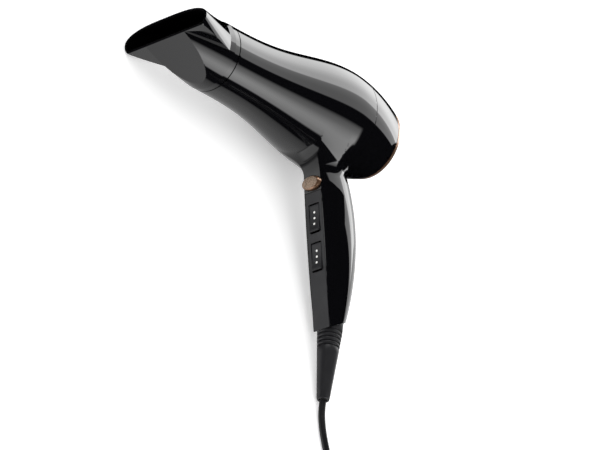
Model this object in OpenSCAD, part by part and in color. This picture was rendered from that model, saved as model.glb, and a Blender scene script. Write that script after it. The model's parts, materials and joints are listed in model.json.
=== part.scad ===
// Hand-held hair dryer with a swivelling concentrator nozzle, lying on its right side.
// Built upright with the barrel along X, nozzle towards -X, handle towards -Z, then laid down.

/* [Barrel] */
// Length of the barrel from the nozzle seam to the rear rim
barrel_len = 172; // [165:1:207]
// Outer radius at the nozzle seam
collar_r = 26; // [25.5:0.1:31.2]
// Largest outer radius
belly_r = 39.4; // [38.8:0.1:47.3]
// Distance of the largest ring behind the seam
belly_x = 120; // [112:1:124]
// Outer radius of the rear rim
rear_r = 27.8; // [27:0.1:33.4]
// Distance of the rear cap's seam behind the nozzle seam
cap_seam_x = 133; // [128:1:138]
// Wall of the moulded shells
wall = 2; // [1.6:0.1:2.4]

/* [Nozzle] */
// Length from the seam to the mouth
nozzle_len = 51; // [42:1:62]
// Half of the mouth's outside width
mouth_half_w = 39.6; // [33:0.1:47.6]
// Radius of the mouth's rounded ends
mouth_end_r = 7.2; // [6:0.1:8.7]
// How far the upper lip bows above the mouth's ends
lip_bow = 3; // [1:0.5:4]
// Wall of the nozzle
nozzle_wall = 1.8; // [1.5:0.1:2.2]
// Depth that the nozzle goes onto its spigot
spigot_len = 13; // [10:0.5:15.6]

/* [Handle] */
// Distance of the handle's front face behind the seam, at its top
handle_x = 108.5; // [104:0.5:112]
// Distance of the handle's lower end below the barrel axis
handle_len = 168; // [160:1:202]
// Largest half width of the handle
handle_half_w = 12.7; // [11.8:0.1:15.2]
// Lean of the front face
lean = 7.7; // [6:0.1:9]
// Width of the switch panel
panel_w = 15; // [14:0.5:17]

/* [Controls] */
// Depth of the cool-shot button below the barrel axis
button_h = 57.5; // [55:0.5:60]
// Width of the button
button_w = 16.5; // [14:0.1:19.8]
// Height of the button
button_t = 10.4; // [8.7:0.1:11]
// How far the button stands proud
button_proud = 3; // [2.4:0.1:3.4]
// Travel of the button
button_travel = 2; // [1:0.1:2.4]
// Depth of the upper switch below the barrel axis
upper_h = 84; // [82:0.5:88]
// Distance between the two switches
switch_pitch = 29.2; // [27:0.1:32]
// Length of a rocker
rocker_len = 20.8; // [17.4:0.1:22]
// Width of a rocker
rocker_w = 9.2; // [7.7:0.1:10]
// Radius of a rocker's pivot pins
rocker_pin_r = 1.2; // [1:0.05:1.4]

/* [Motor and heater] */
// Radius of the heater's sleeve
sleeve_r = 21.6; // [20:0.1:21.8]
// Radius of the fan duct
duct_r = 33; // [31.5:0.1:33.2]
// Radius of the motor
motor_r = 15; // [13:0.1:16]
// Length of the motor's can
motor_len = 26; // [22:0.5:27]
// Radius of the motor shaft
shaft_r = 1.6; // [1.35:0.05:1.9]
// Number of fan blades
blades = 7; // [5:1:9]
// Number of turns drawn on the heater
heater_turns = 9; // [7:1:10]

/* [Cord] */
// Diameter of the power cord
cord_d = 5; // [4.5:0.1:6]
// Length of the tapered strain relief
relief_len = 57; // [48:1:68]
// Radius of the strain relief at the handle
relief_r = 9.2; // [8:0.1:9.4]
// Mean radius of the cord's coil
coil_r = 28; // [26:0.5:30]
// Rows and layers of turns in the coil
coil_rows = 3; // [3:1:4]
// Length of a plug pin
pin_len = 19; // [16:0.5:22]
// Radius of a plug pin
pin_r = 2.4; // [2:0.05:2.9]
// Distance between the plug's pins
pin_pitch = 19; // [16:0.5:22]

/* [Hidden] */
$fn = 72;

fit = 0.08;        // running clearance on a radius
gap = 0.3;         // clearance between neighbouring pieces
seat = 0.2;        // clearance of a piece seated in a pocket

gloss_black = "#0b0b0c";
satin_black = "#2c2c2e";
bronze = "#8c6a4f";
mica = "#b9a878";
nickel = "#b8b8bc";
steel = "#8f9296";
board_green = "#2f5a3c";
copper = "#b8733a";

// ---- Barrel outline -------------------------------------------------------
function front_bulge(t) = (1 - cos(180 * pow(t, 1.46))) / 2;
function rear_drop(t) = pow(t, 1.85);
function barrel_r(x) = x <= belly_x
  ? collar_r + (belly_r - collar_r) * front_bulge(max(x, 0) / belly_x)
  : belly_r - (belly_r - rear_r) * rear_drop((x - belly_x) / (barrel_len - belly_x));
function barrel_line(x0, x1, inset, n) =
  [for (i = [0 : n]) let (x = x0 + (x1 - x0) * i / n) [barrel_r(x) - inset, x]];

// Turns a [radius, x] outline about the barrel's axis
module lathe() { rotate([0, 90, 0]) rotate_extrude() children(); }
module barrel_solid(x0, x1, inset, n = 24) {
  lathe() polygon(concat([[0, x0]], barrel_line(x0, x1, inset, n), [[0, x1]]));
}
// Tube along the barrel's axis
module tube_x(x0, x1, r_out, r_in) {
  translate([x0, 0, 0]) rotate([0, 90, 0]) difference() {
    cylinder(r = r_out, h = x1 - x0);
    translate([0, 0, -1]) cylinder(r = r_in, h = x1 - x0 + 2);
  }
}
module rod_x(x0, x1, r) { translate([x0, 0, 0]) rotate([0, 90, 0]) cylinder(r = r, h = x1 - x0); }

// ---- Handle outline -------------------------------------------------------
fillet_r = 12;               // blend between the barrel's underside and the handle
fillet_h = 50;               // where that blend starts
grip_h = 97;                 // depth of the handle's deepest point
grip_back = 44.5;            // its distance behind the panel's top
function lean_x(h) = handle_x + (h - 60) * tan(lean);
function blend_x(h) = h >= fillet_h ? 0
  : fillet_r - sqrt(pow(fillet_r, 2) - pow(min(fillet_h - h, fillet_r - 1), 2));
function front_x(h) = lean_x(h) - blend_x(h);
end_depth = 17.8;            // depth of the handle's lower end
end_narrowing = 3;           // how much narrower it is there
grip_x = handle_x + grip_back;
function along(h) = (h - grip_h) / (handle_len - grip_h);
function back_x(h) = h < grip_h ? grip_x - 0.004 * pow(h - grip_h, 2)
  : grip_x + (lean_x(handle_len) + end_depth - grip_x) * pow(along(h), 2);
function half_w(h) = handle_half_w - end_narrowing * pow(along(h), 2);
function squash(v, e) = sign(v) * pow(abs(v), e);
widest = 0.42;               // share of the depth in front of the widest place
back_round = 0.9;            // 1 is an ellipse
// Section of the handle: flat in front, round behind
function handle_ring(h, inset, n) = let (f = front_x(h) + inset, b = back_x(h) - inset,
    w = half_w(h) - inset, m = f + (b - f) * widest)
  [for (i = [0 : n - 1]) let (a = 360 * (i + 0.5) / n, c = cos(a), s = sin(a))
    c < 0 ? [m + (m - f) * squash(c, 0.42), w * squash(s, 0.8), -h]
          : [m + (b - m) * c, w * squash(s, back_round), -h]];
// Half width of the handle's inside at a depth h, a distance x behind the seam
function inner_half(x, h) = let (f = front_x(h) + wall, b = back_x(h) - wall,
    m = f + (b - f) * widest, t = max(x - m, 0) / (b - m))
  (half_w(h) - wall) * pow(1 - t * t, back_round / 2);

// Closed surface through equal rings of points
module loft(rings) {
  n = len(rings[0]);
  m = len(rings);
  points = [for (ring = rings) for (p = ring) p];
  sides = [for (j = [0 : m - 2]) for (i = [0 : n - 1]) let (k = (i + 1) % n)
    each [[j * n + i, j * n + k, (j + 1) * n + k], [j * n + i, (j + 1) * n + k, (j + 1) * n + i]]];
  caps = [[for (i = [n - 1 : -1 : 0]) i], [for (i = [0 : n - 1]) (m - 1) * n + i]];
  polyhedron(points, concat(sides, caps), convexity = 6);
}
handle_top = 30;             // start of the handle inside the barrel
blend_steps = [handle_top, 39, 40, 41.5, 43.5, 46, fillet_h];
grip_steps = [for (i = [1 : 12]) fillet_h + (handle_len - fillet_h) * i / 12];
module handle_solid(inset) {
  loft([for (h = concat(blend_steps, grip_steps, [handle_len + 8])) handle_ring(h, inset, 32)]);
}

// Lower end of the handle: a plane that rises towards the back
end_tilt = 29;
end_x = lean_x(handle_len);
module below_end(offset) {
  translate([end_x, -40, -handle_len + offset]) rotate([0, -end_tilt, 0])
    translate([-60, 0, -100]) cube([160, 80, 100]);
}
// Places things on the switch panel: X into the handle, Z up along the panel
module on_panel(h) {
  translate([lean_x(h), 0, -h]) rotate([0, -lean, 0]) children();
}

// Places things on the strain relief: origin at the handle's end, Z up along the relief
relief_tilt = 5;
relief_h = handle_len - 3;
relief_x = (lean_x(relief_h) + back_x(relief_h)) / 2;
neck_r = 6;
module relief_frame() {
  translate([relief_x, 0, -relief_h]) rotate([0, relief_tilt, 0]) children();
}

// ---- Shells ---------------------------------------------------------------
spigot_wall = 1.6;
grip_wall = 1.6;             // grip ring with its two running clearances
spigot_r = collar_r - nozzle_wall - grip_wall;
front_web = 2;               // web that the spigot passes through
lower_h = upper_h + switch_pitch;
panel_top = 64;
panel_reach = 12;            // how far the panel's cutter reaches behind the front face
hole_play = 0.85;            // room round the end of a rocker
button_play = 0.3;
rocker_pivot = 5.2;          // depth of a rocker's pivot behind the panel

module panel_cutter(extra) {
  translate([0, -panel_w / 2 - extra, 0]) rotate([90, 0, 0]) mirror([0, 0, 1])
    linear_extrude(panel_w + 2 * extra) polygon([
      [lean_x(panel_top) - 20, -panel_top + extra],
      [lean_x(panel_top) + panel_reach, -panel_top + extra],
      [lean_x(handle_len) + panel_reach, -handle_len - 12],
      [lean_x(handle_len) - 20, -handle_len - 12]]);
}
function oval(a, b) = [for (t = [0 : 9 : 351]) [a * cos(t), b * sin(t)]];
// Oval prism standing on the panel, X into the handle
module button_prism(x0, x1, extra) {
  on_panel(button_h) translate([x0, 0, 0]) rotate([0, 90, 0])
    linear_extrude(x1 - x0) polygon(oval(button_t / 2 + extra, button_w / 2 + extra));
}
module housing() {
  color(gloss_black) difference() {
    union() {
      barrel_solid(0, cap_seam_x - gap, 0, 28);
      handle_solid(0);
    }
    barrel_solid(front_web, cap_seam_x + 1, wall, 28);
    rod_x(-1, front_web + 1, spigot_r + 0.15);
    barrel_solid(cap_seam_x - gap, barrel_len, -gap, 14);
    difference() {
      handle_solid(wall);
      below_end(wall + 0.5);
    }
    below_end(0);
    intersection() {
      panel_cutter(seat);
      difference() {
        handle_solid(-1);
        handle_solid(wall + 0.2);
      }
    }
    button_prism(-8, 8, button_play);
    relief_frame() translate([0, 0, -12]) cylinder(r = neck_r + seat, h = 30);
  }
}
lip_x = barrel_len - 4.6;    // rear end of the cap
cap_end = 5;                 // thickness of its rear wall
skirt_r = rear_r - 5.2;
skirt_wall = 1.4;
module rear_cap() {
  hook = 4;
  color(gloss_black) difference() {
    union() {
      difference() {
        barrel_solid(cap_seam_x, lip_x, 0, 14);
        barrel_solid(cap_seam_x - 1, lip_x - cap_end, wall, 14);
      }
      difference() {
        union() {
          barrel_solid(cap_seam_x - hook, cap_seam_x + 0.5, wall + seat, 3);
          barrel_solid(cap_seam_x, cap_seam_x + 2, wall - 0.2, 3);
        }
        barrel_solid(cap_seam_x - hook - 1, cap_seam_x + 3, 2 * wall + seat, 3);
      }
    }
    rod_x(lip_x - cap_end - 1, lip_x + 1, skirt_r + fit);
    handle_solid(-gap);
  }
}
module front_cover() {
  color(satin_black) difference() {
    intersection() {
      panel_cutter(0);
      difference() {
        handle_solid(0);
        handle_solid(wall);
      }
    }
    below_end(0);
    for (h = [upper_h, lower_h]) on_panel(h)
      translate([-4, -rocker_w / 2 - gap, -rocker_len / 2 - hole_play])
        cube([12, rocker_w + 2 * gap, rocker_len + 2 * hole_play]);
  }
}

// ---- Outlet and heater ----------------------------------------------------
spigot_back = 8;
sleeve_back = 88;
sleeve_wall = 0.6;
board_t = 0.8;
coil_wire = 1.1;
coil_ring_r = 17.2;
coil_first = 14;
coil_last = 62;
module outlet_spigot() {
  color(satin_black) {
    tube_x(-spigot_len, spigot_back, spigot_r, spigot_r - spigot_wall);
    tube_x(spigot_back - 1.6, spigot_back, spigot_r, sleeve_r - 1.2);
    tube_x(front_web + seat, front_web + 2.5, barrel_r(front_web) - wall - seat, spigot_r - 1);
  }
}
// Round grille with ring-shaped slots between its bars
module slotted_disc(rim, hub, slots, bar, spokes) {
  pitch = (rim - hub) / slots;
  difference() {
    circle(r = rim);
    difference() {
      for (k = [0 : slots - 1]) difference() {
        circle(r = hub + (k + 1) * pitch - bar);
        circle(r = hub + k * pitch);
      }
      for (a = [0 : 360 / spokes : 359]) rotate(a) translate([0, -bar / 2]) square([rim, bar]);
    }
  }
}
module outlet_grille() {
  color(satin_black) translate([-4, 0, 0]) rotate([0, 90, 0]) linear_extrude(1.6)
    slotted_disc(spigot_r - spigot_wall - seat, 3, 3, 1.2, 8);
}
module heater_sleeve() {
  color(mica) tube_x(spigot_back + seat, sleeve_back, sleeve_r, sleeve_r - sleeve_wall);
}
function coil_x(i) = coil_first + (coil_last - coil_first) * i / (heater_turns - 1);
module coil_ring(i, r) {
  translate([coil_x(i), 0, 0]) rotate([0, 90, 0]) rotate_extrude()
    translate([coil_ring_r, 0]) circle(r = r, $fn = 20);
}
module heater_cross() {
  reach = sleeve_r - sleeve_wall - gap;
  color(mica) difference() {
    for (a = [0, 90]) rotate([a, 0, 0]) translate([spigot_back + 2, -board_t / 2, -reach])
      cube([sleeve_back - spigot_back - 6, board_t, 2 * reach]);
    for (i = [0 : heater_turns - 1]) coil_ring(i, coil_wire + gap);
  }
}
module heating_coils() {
  color(nickel) for (i = [0 : heater_turns - 1]) coil_ring(i, coil_wire);
}
module thermostat() {
  color(steel) translate([68, board_t / 2 + seat, 3]) cube([10, 4, 9]);
}
module thermal_fuse() {
  fuse_r = 1.8;
  color(nickel) translate([0, -board_t / 2 - seat - fuse_r, 8]) rod_x(68, 80, fuse_r);
}

// ---- Motor and fan --------------------------------------------------------
can_x = 100;                 // front of the motor
can_end = can_x + motor_len;
bearing_r = 4;
duct_wall = 1.6;
duct_cone = 104;
vanes = 6;
duct_end = belly_x + (barrel_len - belly_x)
  * pow((belly_r - duct_r - wall - gap) / (belly_r - rear_r), 1 / 1.85);
fan_x = can_end + 11;        // middle of the fan's blades
blade_len = 14;
blade_turn = 38;
module fan_duct() {
  cup_r = motor_r + seat;
  socket_r = sleeve_r + seat;
  color(satin_black) {
    lathe() polygon([[socket_r, 84], [socket_r + duct_wall, 84], [socket_r + duct_wall, 92],
      [duct_r, duct_cone], [duct_r, duct_end], [duct_r - duct_wall, duct_end],
      [duct_r - duct_wall, duct_cone + 0.5], [socket_r, 92.8]]);
    tube_x(can_x - 2, can_end - 2, cup_r + duct_wall, cup_r);
    for (a = [0 : 360 / vanes : 359]) rotate([a, 0, 0])
      translate([duct_cone, -0.7, cup_r + 0.8]) cube([12, 1.4, duct_r - cup_r - 1.6]);
  }
}
module motor_can() {
  color(steel) difference() {
    union() {
      rod_x(can_x, can_end, motor_r);
      rod_x(can_x - 3, can_x + 1, bearing_r + 1.4);
    }
    rod_x(can_x + 1.5, can_end + 1, motor_r - 1.2);
    rod_x(can_x - 4, can_x + 2, bearing_r + 0.03);
  }
}
module motor_magnets() {
  outer = motor_r - 1.2 - seat;
  color("#3a3a3c") difference() {
    tube_x(can_x + 4, can_end - 4, outer, outer - 2.2);
    translate([can_x, -motor_r, -4]) cube([motor_len, 2 * motor_r, 8]);
  }
}
module motor_end_cap() {
  color(satin_black) difference() {
    rod_x(can_end + seat, can_end + 3.8, motor_r);
    rod_x(can_end - 1, can_end + 5, bearing_r + 0.03);
    for (a = [45 : 90 : 315]) rotate([a, 0, 0]) translate([0, 0, 0.65 * motor_r])
      rod_x(can_end - 1, can_end + 5, 2.4);
  }
}
module motor_bearings() {
  color("#a9834f") for (x = [can_x - 2.8, can_end + 0.4])
    tube_x(x, x + 3.2, bearing_r, shaft_r + 0.05);
}
module rectifier_board() {
  color(board_green) tube_x(can_x - 2.8, can_x - 1.2, motor_r - 1.5, bearing_r + 1.6);
}
module rectifier_diodes() {
  color("#1c1c1e") for (a = [45 : 90 : 315]) rotate([a, 0, 0]) translate([0, 0, 0.66 * motor_r])
    rod_x(can_x - 7, can_x - 3, 1.5);
}
module motor_shaft() { color(steel) rod_x(can_x - 4.5, fan_x + 4, shaft_r); }
module motor_armature() {
  core = motor_r - 1.2 - seat - 2.2 - 0.6;
  color(copper) difference() {
    union() {
      rod_x(can_x + 5, can_end - 5, core);
      rod_x(can_end - 5, can_end - 1.5, 3.4);
    }
    rod_x(can_x, can_end, shaft_r + 0.02);
    for (a = [0 : 60 : 300]) rotate([a, 0, 0])
      translate([can_x + 4, -0.8, core - 3]) cube([motor_len - 8.9, 1.6, 4]);
  }
}
module impeller() {
  tip = duct_r - duct_wall - 0.6;
  hub = 11.5;
  color(satin_black) difference() {
    union() {
      rod_x(fan_x - 6, fan_x + 6, hub);
      intersection() {
        tube_x(fan_x - 6, fan_x + 6, tip, hub - 1);
        for (a = [0 : 360 / blades : 359]) rotate([a, 0, 0]) translate([fan_x, 0, 0])
          rotate([0, 0, blade_turn]) translate([-blade_len / 2, -0.8, 0]) cube([blade_len, 1.6, 60]);
      }
    }
    rod_x(fan_x - 7, fan_x + 4, shaft_r + 0.02);
  }
}

// ---- Rear intake ----------------------------------------------------------
ring_in = skirt_r - skirt_wall;
module grille_ring() {
  color(bronze) {
    lathe() polygon(concat([[ring_in, lip_x + gap]],
      barrel_line(lip_x + gap, barrel_len - 1.2, 0, 3),
      [[rear_r - 1.6, barrel_len], [ring_in + 1.2, barrel_len], [ring_in, barrel_len - 1.2]]));
    tube_x(lip_x - 7, lip_x + gap + 1, skirt_r, ring_in);
  }
}
module rear_grille() {
  color(satin_black) translate([lip_x + 0.6, 0, 0]) rotate([0, 90, 0]) linear_extrude(1.6)
    slotted_disc(ring_in - seat, 3, 5, 1.5, 12);
}
module filter_mesh() { color(steel) rod_x(lip_x - 0.8, lip_x - 0.2, ring_in - seat); }

// ---- Nozzle ---------------------------------------------------------------
mouth_low = -6.4;            // underside of the mouth
seam_gap = 0.4;
throat_x = 12;               // where the fishtail leaves the collar
throat_taper = 0.6;
module mouth_slab(inset, x0, x1) {
  r = mouth_end_r - inset;
  span = mouth_half_w - mouth_end_r;
  for (side = [-1, 1]) {
    translate([x0, side * span, mouth_low + mouth_end_r]) rotate([0, 90, 0])
      cylinder(r = r, h = x1 - x0, $fn = 32);
    translate([x0, side * span * 0.4, mouth_low + mouth_end_r + lip_bow]) rotate([0, 90, 0])
      cylinder(r = r, h = x1 - x0, $fn = 32);
  }
}
module throat_disc(inset, cut) {
  r = collar_r - throat_taper - inset;
  intersection() {
    translate([-throat_x - 1, 0, 0]) rotate([0, 90, 0]) cylinder(r = r, h = 1, $fn = 48);
    translate([-throat_x - 2, -r - 1, cut]) cube([3, 2 * r + 2, 2 * r]);
  }
}
module nozzle_form(inset, x0, x1) {
  hull() {
    throat_disc(inset, mouth_low + inset);
    mouth_slab(inset, x0, x1);
  }
  hull() {
    throat_disc(inset, -collar_r);
    intersection() {
      hull() mouth_slab(inset, x0, x1);
      translate([x0 - 1, -collar_r * 0.8, -collar_r]) cube([x1 - x0 + 2, collar_r * 1.6, 60]);
    }
  }
}
module under_cut(inset) {
  run = nozzle_len;
  rise = collar_r + mouth_low;
  translate([0, -60, -collar_r + inset]) rotate([0, atan(rise / run), 0])
    translate([-80, 0, -60]) cube([100, 120, 60]);
}
module nozzle_shell() {
  bore = collar_r - nozzle_wall;
  color(gloss_black) difference() {
    union() {
      rod_x(-throat_x - 1, -seam_gap, collar_r);
      nozzle_form(0, -nozzle_len, -nozzle_len + 6);
    }
    difference() {
      nozzle_form(nozzle_wall, -nozzle_len - 1, -nozzle_len + 6);
      under_cut(nozzle_wall);
    }
    rod_x(-spigot_len - 1, 1, bore);
    under_cut(0);
  }
}
module nozzle_grip_ring() {
  color(satin_black)
    tube_x(-spigot_len, -seam_gap - 0.2, collar_r - nozzle_wall - fit, spigot_r + fit);
}

// ---- Controls -------------------------------------------------------------
button_skin = blend_x(button_h);
button_back = 2.5;
stem_r = 2;
stem_end = 10;
cool_x = 9.2;
board_x = 16.6;              // depth of the circuit board behind the panel
switch_x = wall + 1.2;       // front of a switch's case
board_mid = upper_h + switch_pitch / 2;
module cool_shot_button() {
  color(bronze) {
    button_prism(-button_proud - button_skin, button_back, 0);
    on_panel(button_h) rotate([0, 90, 0]) cylinder(r = stem_r, h = stem_end);
  }
}
module cool_shot_switch() {
  color("#1c1c1e") on_panel(button_h) difference() {
    translate([cool_x, -4, -6]) cube([board_x - gap - cool_x, 8, 12]);
    translate([cool_x - 1, 0, 0]) rotate([0, 90, 0])
      cylinder(r = stem_r + gap, h = button_travel + stem_end - cool_x + 1.5);
  }
}
module rocker(h) {
  proud = 0.6;
  color(satin_black) on_panel(h) {
    translate([-proud, -rocker_w / 2, -rocker_len / 2]) cube([rocker_pivot + proud + 1, rocker_w, rocker_len]);
    translate([rocker_pivot, -rocker_w / 2 - 1.4, 0]) rotate([-90, 0, 0])
      cylinder(r = rocker_pin_r, h = rocker_w + 2.8);
  }
}
module upper_rocker() { rocker(upper_h); }
module lower_rocker() { rocker(lower_h); }
module switch_case(h) {
  half_w = rocker_w / 2 + gap;
  half_l = rocker_len / 2 + hole_play;
  color("#1c1c1e") on_panel(h) difference() {
    translate([switch_x, -half_w - 1.7, -half_l - 1]) cube([board_x - gap - switch_x, 2 * half_w + 3.4, 2 * half_l + 2]);
    translate([switch_x - 1, -half_w, -half_l]) cube([8, 2 * half_w, 2 * half_l]);
    translate([rocker_pivot, -half_w - 3, 0]) rotate([-90, 0, 0])
      cylinder(r = rocker_pin_r + 0.06, h = 2 * half_w + 6);
  }
}
module upper_switch() { switch_case(upper_h); }
module lower_switch() { switch_case(lower_h); }
module switch_board() {
  top = board_mid - button_h + 3;
  low = lower_h - board_mid + rocker_len / 2 + 6;
  color(board_green) on_panel(board_mid) translate([board_x, -7.5, -low]) cube([1.6, 15, top + low]);
}
module suppressor_capacitor() {
  color("#c9b458") on_panel(board_mid) translate([board_x + 1.6 + seat, -6, -8]) cube([8, 12, 16]);
}

// ---- Tubes ----------------------------------------------------------------
function unit(v) = v / norm(v);
function tangent(p, i) = unit(p[min(i + 1, len(p) - 1)] - p[max(i - 1, 0)]);
function tube_ring(c, t, ref, r, n) = let (u = unit(cross(ref, t)), v = cross(t, u))
  [for (k = [0 : n - 1]) c + r * (cos(360 * k / n) * u + sin(360 * k / n) * v)];
module sweep(p, r, n, ref) {
  loft([for (i = [0 : len(p) - 1]) tube_ring(p[i], tangent(p, i), ref, r, n)]);
}
function panel_point(h, x, y, z) = [lean_x(h) + x * cos(lean) - z * sin(lean), y,
  -h + x * sin(lean) + z * cos(lean)];
function relief_point(z, y) = [relief_x + z * sin(relief_tilt), y, -relief_h + z * cos(relief_tilt)];

spring_turns = 4;
spring_r = 3.2;
spring_wire = 0.4;
module button_spring() {
  start = button_back + spring_wire + 0.2;
  end = cool_x - spring_wire - 0.2;
  color(nickel) on_panel(button_h) sweep([for (i = [0 : 12 * spring_turns]) let (a = 30 * i)
    [start + (end - start) * i / (12 * spring_turns), spring_r * cos(a), spring_r * sin(a)]],
    spring_wire, 6, [1, 0, 0]);
}

// ---- Cord's end in the handle ---------------------------------------------
grooves = 5;
groove_pitch = 3.1;
clamp_z = 16;
clamp_t = 8;                 // thickness of the clamp, front to back
clamp_h = relief_h - clamp_z;
clamp_back = relief_x + clamp_z * sin(relief_tilt) + clamp_t / 2;
clamp_half_w = inner_half(clamp_back, clamp_h) - 0.5;
clamp_screw_y = clamp_half_w - 2;
tail_r = cord_d / 2 + 2.1;
module relief_cone() {
  difference() {
    translate([0, 0, -relief_len]) cylinder(r1 = tail_r, r2 = relief_r, h = relief_len - 2);
    for (i = [0 : grooves - 1]) translate([0, 0, -3.5 - groove_pitch * i]) difference() {
      cylinder(r = relief_r + 1, h = 1.2);
      translate([0, 0, -0.5]) cylinder(r = relief_r - 1.2 - 0.25 * i, h = 3);
    }
  }
  translate([0, 0, -2.1]) cylinder(r = relief_r, h = 16);
}
module strain_relief() {
  flange_r = neck_r + 1.2;
  rise = wall + 0.5 + seat;
  color(satin_black) {
    intersection() {
      relief_frame() relief_cone();
      below_end(-seat);
    }
    relief_frame() translate([0, 0, -4]) cylinder(r = neck_r, h = clamp_z + 4 - seat);
    difference() {
      intersection() {
        relief_frame() cylinder(r = flange_r, h = 20);
        below_end(rise + 2);
      }
      below_end(rise);
    }
  }
}
module cord_clamp() {
  color(satin_black) relief_frame() difference() {
    translate([-clamp_t / 2, -clamp_half_w, clamp_z]) cube([clamp_t, 2 * clamp_half_w, 4]);
    translate([0, 0, clamp_z - 1]) cylinder(r = 3, h = 6);
    for (side = [-1, 1]) translate([-5, side * clamp_screw_y, clamp_z + 2]) rotate([0, 90, 0])
      cylinder(r = 1.2, h = 10);
  }
}
module clamp_screws() {
  color(steel) relief_frame() for (side = [-1, 1])
      translate([-clamp_t / 2 - 1.6, side * clamp_screw_y, clamp_z + 2]) rotate([0, 90, 0]) {
    cylinder(r = 2, h = 1.4);
    cylinder(r = 1.1, h = 9);
  }
}
module power_leads() {
  foot = board_mid - lower_h - rocker_len / 2 - 5;
  color(copper) for (y = [-1.6, 1.6]) sweep([relief_point(clamp_z + 0.5, y),
    relief_point(clamp_z + 5, y), relief_point(clamp_z + 11, y * 1.6),
    panel_point(board_mid, board_x + 4.5, y * 1.8, foot - 2),
    panel_point(board_mid, board_x + 3.2, y * 2, foot + 4)], 1, 8, [0, 1, 0]);
}

// ---- Laying it down -------------------------------------------------------
// The barrel's largest ring, the mouth's end and the tail of the relief touch the table.
tail_h = -relief_point(-relief_len, 0)[2];
rest_roll = asin(belly_r / norm([tail_h, tail_r])) - atan(tail_r / tail_h);
low_y = -tail_h * cos(rest_roll) - tail_r * sin(rest_roll);
middle = [(barrel_len - nozzle_len) / 2, (belly_r + low_y) / 2];
module rest_pose() {
  translate([-middle[0], -middle[1], belly_r]) rotate([rest_roll - 90, 0, 0]) children();
}

// ---- Free cord, in the table's frame --------------------------------------
cord_r = cord_d / 2;
cord_route = [[66.8, -128.9, 4.5], [66, -138, 3.1], [65.7, -147, 2.6], [66, -156, 2.5],
  [67, -165, 2.5], [68.5, -174, 2.5], [70, -184, 2.5], [71.3, -194, 2.5], [72, -204, 2.5],
  [72, -212, 2.5]];
coil_at = [105, -212];
plug_route = [[105, -245, 2.5], [113, -245.4, 2.5], [121, -246.5, 3], [129, -248, 4.5],
  [137, -249.5, 6.4], [145, -250.4, 7.4], [152, -250.6, 7.5]];
plug_at = [152, -250.6, 7.5];
bundle = coil_rows * cord_d;
module power_cord() {
  color("#161617") {
    sweep(cord_route, cord_r, 8, [0, 0, 1]);
    sweep(plug_route, cord_r, 8, [0, 0, 1]);
  }
}
module cord_coil() {
  color("#161617") translate([coil_at[0], coil_at[1], 0]) rotate_extrude()
    translate([coil_r - bundle / 2, 0]) square([bundle, bundle]);
}
module cord_tie() {
  t = 1.2;
  color(satin_black) translate([coil_at[0] - 4, coil_at[1] + coil_r - bundle / 2 - t - seat, 0])
    difference() {
      cube([8, bundle + 2 * (t + seat) + 0.6, bundle + seat + t]);
      translate([-1, t, -1]) cube([10, bundle + 2 * seat + 0.6, bundle + seat + 1]);
    }
}
plug_t = 15;
plug_len = 34;
plug_nose = 14;
module plug_body() {
  color("#161617") translate([plug_at[0], plug_at[1], 0]) {
    translate([0, 0, plug_at[2]]) rotate([0, 90, 0]) cylinder(r1 = cord_r + 1.2, r2 = 6.5, h = plug_nose);
    translate([plug_nose, 0, 0]) linear_extrude(plug_t) polygon([[-0.5, -7], [8, -8], [18, -13],
      [plug_len - 4, -17.5], [plug_len, -17.5], [plug_len, 17.5], [plug_len - 4, 17.5], [18, 13],
      [8, 8], [-0.5, 7]]);
  }
}
module plug_pins() {
  color(nickel) for (side = [-1, 1])
    translate([plug_at[0] + plug_nose + plug_len, plug_at[1] + side * pin_pitch / 2, plug_at[2]])
      rotate([0, 90, 0]) cylinder(r = pin_r, h = pin_len);
}

rest_pose() housing();
rest_pose() rear_cap();
rest_pose() front_cover();
rest_pose() outlet_spigot();
rest_pose() outlet_grille();
rest_pose() heater_sleeve();
rest_pose() heater_cross();
rest_pose() heating_coils();
rest_pose() thermostat();
rest_pose() thermal_fuse();
rest_pose() fan_duct();
rest_pose() motor_can();
rest_pose() motor_magnets();
rest_pose() motor_end_cap();
rest_pose() motor_bearings();
rest_pose() rectifier_board();
rest_pose() rectifier_diodes();
rest_pose() motor_shaft();
rest_pose() motor_armature();
rest_pose() impeller();
rest_pose() grille_ring();
rest_pose() rear_grille();
rest_pose() filter_mesh();
rest_pose() nozzle_grip_ring();
rest_pose() nozzle_shell();
rest_pose() cool_shot_button();
rest_pose() button_spring();
rest_pose() cool_shot_switch();
rest_pose() upper_rocker();
rest_pose() lower_rocker();
rest_pose() upper_switch();
rest_pose() lower_switch();
rest_pose() switch_board();
rest_pose() suppressor_capacitor();
rest_pose() cord_clamp();
rest_pose() clamp_screws();
rest_pose() power_leads();
rest_pose() strain_relief();
power_cord();
cord_coil();
cord_tie();
plug_body();
plug_pins();
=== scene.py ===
# %% [markdown]
# # A hand-held hair dryer on a light table
# The dryer lies on its right side, as it is put down after use. The CAD frame gives every real size.
# Blender adds the shells as smooth surfaces, the finishes, the cord and the light.
# %% The frame
import json
from math import cos, pi, radians, sin, sqrt, tan

import bmesh
import bpy
import numpy as np
from mathutils import Matrix, Vector


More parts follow.
